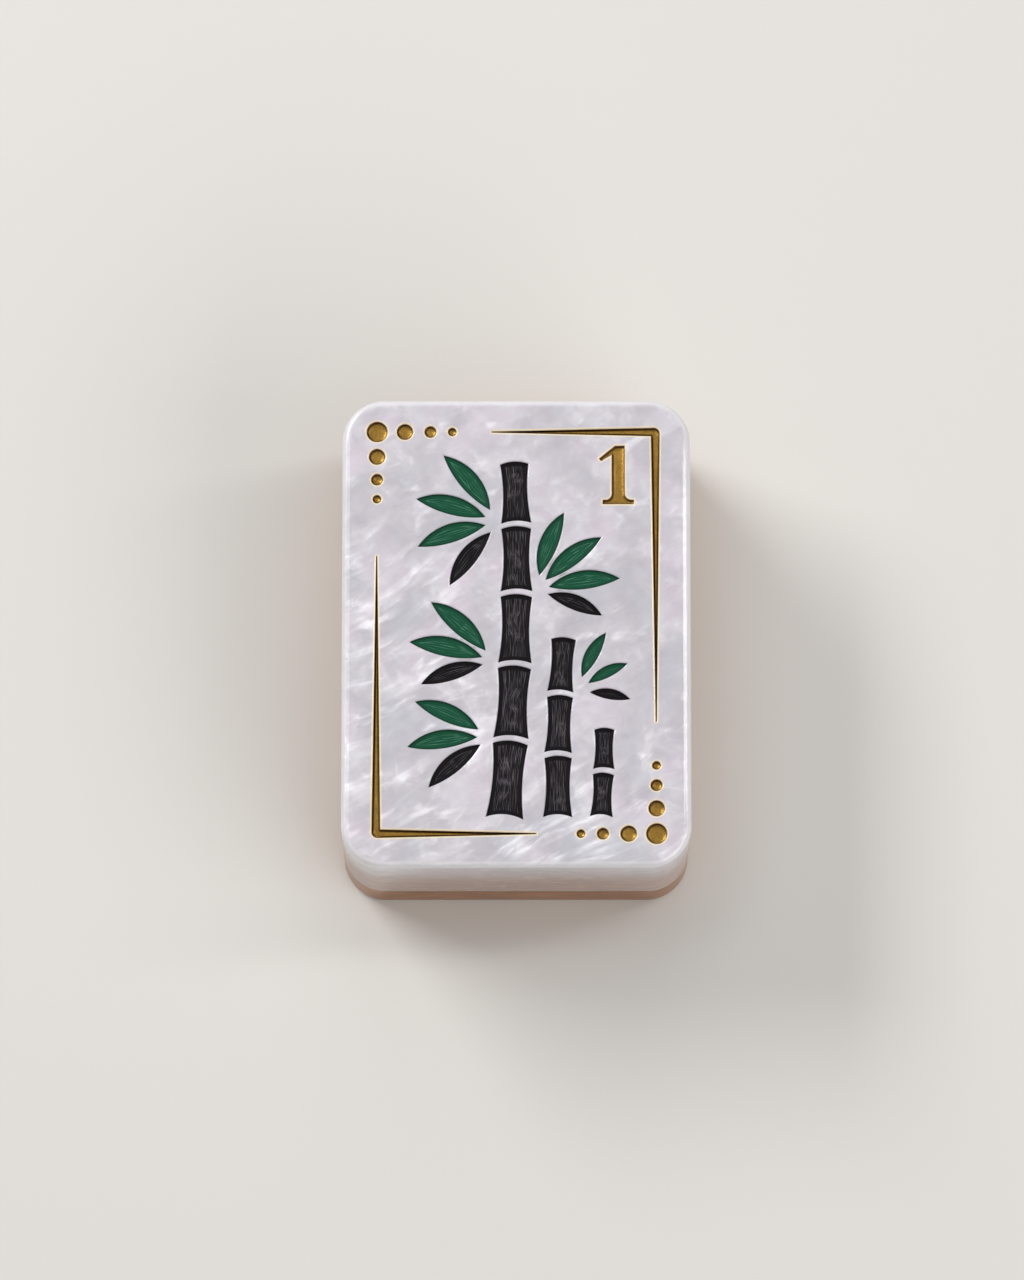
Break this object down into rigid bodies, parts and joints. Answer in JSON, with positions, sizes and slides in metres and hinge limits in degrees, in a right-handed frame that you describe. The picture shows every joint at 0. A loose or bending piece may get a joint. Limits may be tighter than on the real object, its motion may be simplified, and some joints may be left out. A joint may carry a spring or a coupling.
{
  "type": "mahjong tile",
  "caption": "Thick laminated game tile with rounded edges: a pearl face slab on a bronze back slab, engraved and paint-filled with a bamboo picture, a gold numeral and a gold border.",
  "frame": {"origin": "middle of the tile's back face, which rests on the table", "axes": "+Z out of the engraved face, +Y along the length to the numeral's top, +X to the right of the face"},
  "size_m": [0.022, 0.03, 0.013],
  "materials": {
    "pearl_acrylic": "polished pearlescent acrylic, grey-lilac with whiter wisps and small bright flakes",
    "bronze_acrylic": "polished gold-bronze pearlescent acrylic with fine streaks",
    "clear_cement": "cured clear acrylic cement, polished flush",
    "gold_paint": "metallic gold enamel with a fine grain, in engraved pockets",
    "black_paint": "satin black enamel with fine engraved strokes",
    "green_paint": "satin green enamel with fine mottled strokes"
  },
  "bodies": {
    "root": {"face_slab": "pearl_acrylic", "bond_film": "clear_cement", "back_slab": "bronze_acrylic", "numeral_one": "gold_paint", "upper_corner_rule": "gold_paint", "lower_corner_rule": "gold_paint", "upper_corner_dot": "gold_paint", "upper_row_dot_1": "gold_paint", "upper_row_dot_2": "gold_paint", "upper_row_dot_3": "gold_paint", "upper_column_dot_1": "gold_paint", "upper_column_dot_2": "gold_paint", "upper_column_dot_3": "gold_paint", "lower_corner_dot": "gold_paint", "lower_row_dot_1": "gold_paint", "lower_row_dot_2": "gold_paint", "lower_row_dot_3": "gold_paint", "lower_column_dot_1": "gold_paint", "lower_column_dot_2": "gold_paint", "lower_column_dot_3": "gold_paint", "tall_cane_1": "black_paint", "tall_cane_2": "black_paint", "tall_cane_3": "black_paint", "tall_cane_4": "black_paint", "tall_cane_5": "black_paint", "middle_cane_1": "black_paint", "middle_cane_2": "black_paint", "middle_cane_3": "black_paint", "short_cane_1": "black_paint", "short_cane_2": "black_paint", "top_leaf_1": "green_paint", "top_leaf_2": "green_paint", "top_leaf_3": "green_paint", "top_leaf_4": "black_paint", "right_leaf_1": "green_paint", "right_leaf_2": "green_paint", "right_leaf_3": "green_paint", "right_leaf_4": "black_paint", "left_leaf_1": "green_paint", "left_leaf_2": "green_paint", "left_leaf_3": "black_paint", "low_leaf_1": "green_paint", "low_leaf_2": "green_paint", "low_leaf_3": "black_paint", "side_leaf_1": "green_paint", "side_leaf_2": "green_paint", "side_leaf_3": "black_paint"}
  },
  "joints": []
}
